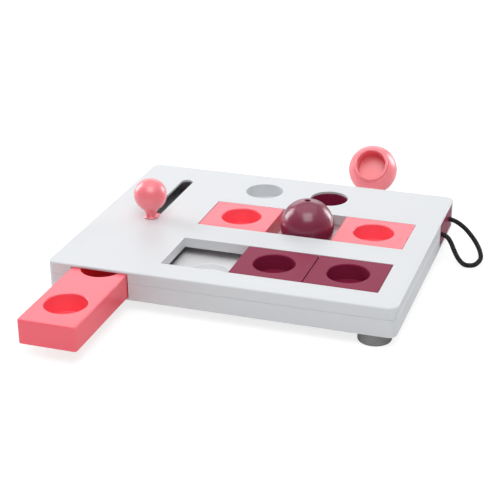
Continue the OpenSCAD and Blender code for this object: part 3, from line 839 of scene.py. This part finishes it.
def braided_tube(name, line, radius, sides):
    """A tube along the line whose surface rises where a yarn crosses over another."""
    spots, quads, wraps = [], [], []
    side = Vector((0, 0, 1))
    run = 0.0
    for i, middle in enumerate(line):
        ahead = (line[min(i + 1, len(line) - 1)] - line[max(i - 1, 0)]).normalized()
        side = (side - ahead * side.dot(ahead)).normalized()
        across = ahead.cross(side)
        if i:
            run += (middle - line[i - 1]).length
        for k in range(sides):
            turn = k / sides
            over = sin(pi * (yarns_each_way * turn + run / yarn_pitch))
            under = sin(pi * (yarns_each_way * turn - run / yarn_pitch))
            reach = radius - yarn_rise * (1 - sqrt(abs(over * under)))
            spots.append(middle + reach * (cos(2 * pi * turn) * side + sin(2 * pi * turn) * across))
            wraps.append((turn, run))
    rings = len(line)
    for i in range(rings - 1):
        for k in range(sides):
            n = (k + 1) % sides
            quads.append((i * sides + k, i * sides + n, (i + 1) * sides + n, (i + 1) * sides + k))
    quads.append(tuple(reversed(range(sides))))
    quads.append(tuple((rings - 1) * sides + k for k in range(sides)))
    mesh = bpy.data.meshes.new(name)
    mesh.from_pydata(spots, [], quads)
    wrap = mesh.uv_layers.new(name="wrap")
    for face in mesh.polygons:
        turns = [wraps[v][0] for v in face.vertices]
        for corner_index, v in zip(face.loop_indices, face.vertices):
            turn, run = wraps[v]
            if max(turns) > 0.9 and turn < 0.1:
                turn += 1
            wrap.data[corner_index].uv = (turn, run / wrap_l)
    piece = bpy.data.objects.new(name, mesh)
    bpy.context.scene.collection.objects.link(piece)
    take_up(piece)
    bpy.ops.object.mode_set(mode="EDIT")
    bpy.ops.mesh.select_all(action="SELECT")
    bpy.ops.mesh.normals_make_consistent(inside=False)
    bpy.ops.object.mode_set(mode="OBJECT")
    bpy.ops.object.shade_smooth()
    return piece


cord_line = smooth_line(cord_route, cord_step)
cord = braided_tube("braided_cord", cord_line, cord_d / 2, cord_sides)
braid = bpy.data.materials.new("black_braid")
braid.use_nodes = True
nodes, links = braid.node_tree.nodes, braid.node_tree.links
body = nodes["Principled BSDF"]
body.inputs["Roughness"].default_value = 0.72
body.inputs["Specular IOR Level"].default_value = 0.12
body.inputs["Sheen Weight"].default_value = 0.02
body.inputs["Sheen Roughness"].default_value = 0.4
wrap = nodes.new("ShaderNodeUVMap")
wrap.uv_map = "wrap"
stretch = nodes.new("ShaderNodeMapping")
stretch.inputs["Scale"].default_value = (14, 130, 1)
stretch.inputs["Rotation"].default_value = (0, 0, radians(38))
links.new(wrap.outputs["UV"], stretch.inputs["Vector"])
fibres = nodes.new("ShaderNodeTexNoise")
fibres.inputs["Scale"].default_value = 1
fibres.inputs["Detail"].default_value = 4
links.new(stretch.outputs["Vector"], fibres.inputs["Vector"])
# The ramp's lighter flecks are painted glints on the braid, over a varying dark yarn tone.
yarn_tone_and_glints = nodes.new("ShaderNodeValToRGB")
yarn_tone_and_glints.color_ramp.elements[0].position = 0.46
yarn_tone_and_glints.color_ramp.elements[0].color = (0.003, 0.003, 0.003, 1)
yarn_tone_and_glints.color_ramp.elements[1].position = 0.72
yarn_tone_and_glints.color_ramp.elements[1].color = (0.11, 0.108, 0.108, 1)
links.new(fibres.outputs["Fac"], yarn_tone_and_glints.inputs["Fac"])
links.new(yarn_tone_and_glints.outputs["Color"], body.inputs["Base Color"])
fuzz = nodes.new("ShaderNodeBump")
fuzz.inputs["Strength"].default_value = 0.6
fuzz.inputs["Distance"].default_value = 0.08 * mm
links.new(fibres.outputs["Fac"], fuzz.inputs["Height"])
links.new(fuzz.outputs["Normal"], body.inputs["Normal"])
cord.data.materials.append(braid)
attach(cord, "loop_drawer")
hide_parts("pull_cord")

# The knots: the two ends of the same black braid, tied behind the drawer's face. Each is a few turns
# pulled tight on themselves, too thick to slip out through its hole.
knot_turns = 2.6
knot_parts = 60
knot_x = 119.4 * mm
knot_l = 3.6 * mm
knot_core = 1.0 * mm
knot_swell = 0.85 * mm
knot_cord_r = 1.62 * mm
knot_step = 0.35 * mm


def tied_knot(name, y, z):
    """A short spiral of the same braid, wound tight round the cord's end."""
    winding = []
    for k in range(knot_parts + 1):
        t = k / knot_parts
        a = 2 * pi * knot_turns * t
        reach = knot_core + knot_swell * sin(pi * t)
        winding.append((knot_x + (t - 0.5) * knot_l, y + reach * cos(a), z + reach * sin(a)))
    return braided_tube(name, smooth_line(winding, knot_step), knot_cord_r, cord_sides // 2)


knots = as_one([tied_knot("cord_end_knots", *place) for place in cord_exits])
knots.name = "cord_end_knots"
knots.data.materials.clear()
knots.data.materials.append(braid)
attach(knots, "loop_drawer")
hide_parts("cord_knots")

# The lever: a pink ball on a waisted stem, moulded in one. Its small skirt covers the slot, and the
# stem's foot is screwed into the pink drawer from below, so that pushing the ball moves the drawer.
knob_r = 12.3 * mm
knob_z = 48 * mm
lever_edge = 0.25 * mm
z_stem_bore = (18.9 * mm, 27.9 * mm)
lever_neck = [(r * mm, z * mm) for r, z in [
    (7.4, 38.18), (6.35, 37.2), (5.45, 36.1), (4.7, 34.9), (4.25, 33.8), (4.15, 32.9),
    (4.3, 32.1), (4.8, 31.3), (5.5, 30.7), (5.85, 30.3), (4.15, 30.3), (4.15, 19.9)]]
put_down()
bpy.ops.mesh.primitive_uv_sphere_add(segments=72, ring_count=48, radius=knob_r,
                                     location=(lever_x, lever_y, knob_z))
lever = bpy.context.object
lever.name = lever.data.name = "pink_lever"
bpy.ops.object.transform_apply(location=True, rotation=True, scale=True)
bpy.ops.object.mode_set(mode="EDIT")
bpy.ops.mesh.select_mode(type="EDGE")
bpy.ops.mesh.select_all(action="SELECT")
bpy.ops.mesh.bisect(plane_co=(lever_x, lever_y, lever_neck[0][1]), plane_no=(0, 0, 1),
                    clear_inner=True, threshold=hair)
carry(lever_neck, lever_x, lever_y)
bpy.ops.mesh.edge_face_add()
bpy.ops.mesh.select_all(action="SELECT")
bpy.ops.mesh.normals_make_consistent(inside=False)
bpy.ops.object.mode_set(mode="OBJECT")
cut(lever, drum("screw_bore", lever_x, lever_y, screw_bore_d, *z_stem_bore, sides=32))
soften(lever, lever_edge)
# This pink is paler than the tiles' and drawer's pink: a painted sheen over the same plastic.
polished_pink = moulded("polished_pink", colour=(1.0, 0.178, 0.22, 1), edge_wear_and_highlight=(1.0, 0.38, 0.41, 1),
                        drift=0.04, roughness=0.42, gloss_spread=0.08, grain_size=0.8 * mm,
                        grain_height=0.012 * mm, shine=1.0, coat=1.0, coat_roughness=0.30)
lever.data.materials.append(polished_pink)
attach(lever, "lever_drawer")
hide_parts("lever")

# The tiles: four plates with a bowl, two pink and two maroon, moulded hollow. Flanges on their long
# sides run under the window's skirts, so a tile slides along its row and cannot be lifted out.
tile_l = 52.4 * mm
tile_w = 45.4 * mm
flange_w = 51.4 * mm
z_tile = 16.3 * mm
z_in_flange = 17.3 * mm
z_flange = 21.3 * mm
tile_corner = 1.2 * mm
tile_rim = 0.6 * mm
tile_edge = 0.4 * mm
tile_wall = 1.8 * mm
tile_bowl_d = 29.6 * mm
tile_bowl_floor = 18.6 * mm
tile_pattern = block("tile_pattern", (-tile_l / 2, -tile_w / 2, z_in_flange),
                     (tile_l / 2, tile_w / 2, z_top))
round_corners(tile_pattern, tile_corner, segments=5)
round_rim(tile_pattern, z_top, tile_rim, segments=3)
flanges = block("flanges", (-tile_l / 2, -flange_w / 2, z_tile), (tile_l / 2, flange_w / 2, z_flange))
round_corners(flanges, tile_corner, segments=5)
fuse(tile_pattern, flanges)
pocket_l, pocket_w = tile_l / 2 - tile_wall, tile_w / 2 - tile_wall
pocket = block("pocket", (-pocket_l, -pocket_w, z_tile - clear),
               (pocket_l, pocket_w, z_top - tile_wall))
cut(pocket, drum("bowl_wall", 0, 0, tile_bowl_d + 2 * bowl_wall, tile_bowl_floor - bowl_wall, high_up))
cut(tile_pattern, pocket)
cut(tile_pattern, bowl_cutter(0, 0, tile_bowl_d, tile_bowl_floor, z_top))
soften(tile_pattern, tile_edge, segments=3)
tiles = [("middle_tile_left", -20.45 * mm, "middle_track", pink, "pink_plastic"),
         ("middle_tile_right", 81.45 * mm, "middle_track", pink, "pink_plastic"),
         ("front_tile_left", 28.45 * mm, "front_track", maroon, "maroon_plastic"),
         ("front_tile_right", 81.45 * mm, "front_track", maroon, "maroon_plastic")]
for node_name, x, row, finish, finish_slot in tiles:
    tile = copy_to(tile_pattern, "bowl_" + node_name, (x, rows[row], 0))
    tile.data.materials.append(finish)
    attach(tile, node_name)
    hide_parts(node_name)
bpy.data.objects.remove(tile_pattern)

# The ball lids: two plastic balls cut flat at a shoulder, with a collar that drops into a hole, a cup
# inside and a small blind hole in the crown. The maroon one stands in the middle row, the pink one
# lies loose behind the board.
ball_r = 20 * mm
z_shoulder = -13 * mm
shoulder_round = [(15.3 * mm, 0.1 * mm), (15.1 * mm, 0.02 * mm)]
collar_r = 13.7 * mm
z_rim = -16.5 * mm
cup_r = 11.5 * mm
z_cup = -1.5 * mm
crown_r = 2.1 * mm
z_crown_hole = 11 * mm
fillet = 1.2 * mm
rim_round = 1.05 * mm
cup_fillet = 0.8 * mm
crown_round = 0.5 * mm
lid_weld = 0.06 * mm
row_ball_place = (31.2 * mm, 16 * mm, 29.3 * mm)
loose_ball_place = (44.5 * mm, 165 * mm, 20 * mm)
loose_ball_tilt = (radians(-126), 0, radians(6))


def quarter(r, z, radius, start, turn):
    """A quarter round about a point, from a start angle, in the given sense of turn."""
    angles = [radians(start + turn * k) for k in (0, 15, 30, 45, 60, 75, 90)]
    return [(r + radius * cos(a), z + radius * sin(a)) for a in angles]


# A lid is made round its own middle, mouth down: a ball whose cut edges are drawn on, the upper one
# down the crown's hole, the lower one round the shoulder, down the collar and up the cup.
put_down()
bpy.ops.mesh.primitive_uv_sphere_add(segments=96, ring_count=64, radius=ball_r)
lid_pattern = bpy.context.object
lid_pattern.name = lid_pattern.data.name = "lid_pattern"
z_crown = sqrt(ball_r ** 2 - (crown_r + crown_round) ** 2)
z_ball_end = z_shoulder + 0.3 * mm
crown_hole = [*quarter(crown_r + crown_round, z_crown - crown_round, crown_round, 90, 1),
              (crown_r, z_crown_hole)]
mouth = [(sqrt(ball_r ** 2 - z_ball_end ** 2), z_ball_end),
         *[(r, z_shoulder + rise) for r, rise in shoulder_round],
         *quarter(collar_r + fillet, z_shoulder - fillet, fillet, 90, 1),
         *quarter(collar_r - rim_round, z_rim + rim_round, rim_round, 0, -1),
         *quarter(cup_r + rim_round, z_rim + rim_round, rim_round, -90, -1),
         *quarter(cup_r - cup_fillet, z_cup - cup_fillet, cup_fillet, 0, 1)]
bpy.ops.object.mode_set(mode="EDIT")
bpy.ops.mesh.select_mode(type="EDGE")
bpy.ops.mesh.select_all(action="SELECT")
bpy.ops.mesh.bisect(plane_co=(0, 0, z_crown), plane_no=(0, 0, 1), clear_outer=True, threshold=hair)
carry(crown_hole, 0, 0)
bpy.ops.mesh.edge_face_add()
bpy.ops.mesh.select_all(action="SELECT")
bpy.ops.mesh.bisect(plane_co=(0, 0, z_ball_end), plane_no=(0, 0, 1), clear_inner=True, threshold=hair)
carry(mouth, 0, 0)
bpy.ops.mesh.edge_face_add()
bpy.ops.mesh.select_all(action="SELECT")
bpy.ops.mesh.remove_doubles(threshold=lid_weld)
bpy.ops.mesh.normals_make_consistent(inside=False)
bpy.ops.object.mode_set(mode="OBJECT")
even_out(lid_pattern)
polished_maroon = moulded("polished_maroon", colour=(0.24, 0.024, 0.066, 1),
                          edge_wear_and_highlight=(0.38, 0.07, 0.12, 1), drift=0.10, roughness=0.28,
                          gloss_spread=0.06, grain_size=0.8 * mm, grain_height=0.010 * mm,
                          coat=0.6, coat_roughness=0.20)
row_ball = copy_to(lid_pattern, "maroon_ball_lid", row_ball_place)
row_ball.data.materials.append(polished_maroon)
loose_ball = copy_to(lid_pattern, "pink_ball_lid", loose_ball_place, loose_ball_tilt)
loose_ball.data.materials.append(polished_pink)
bpy.data.objects.remove(lid_pattern)
for lid, body_name, finish_slot in [(row_ball, "row_ball", "maroon_plastic"),
                                    (loose_ball, "loose_ball", "pink_plastic")]:
    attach(lid, body_name)
    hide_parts(body_name)
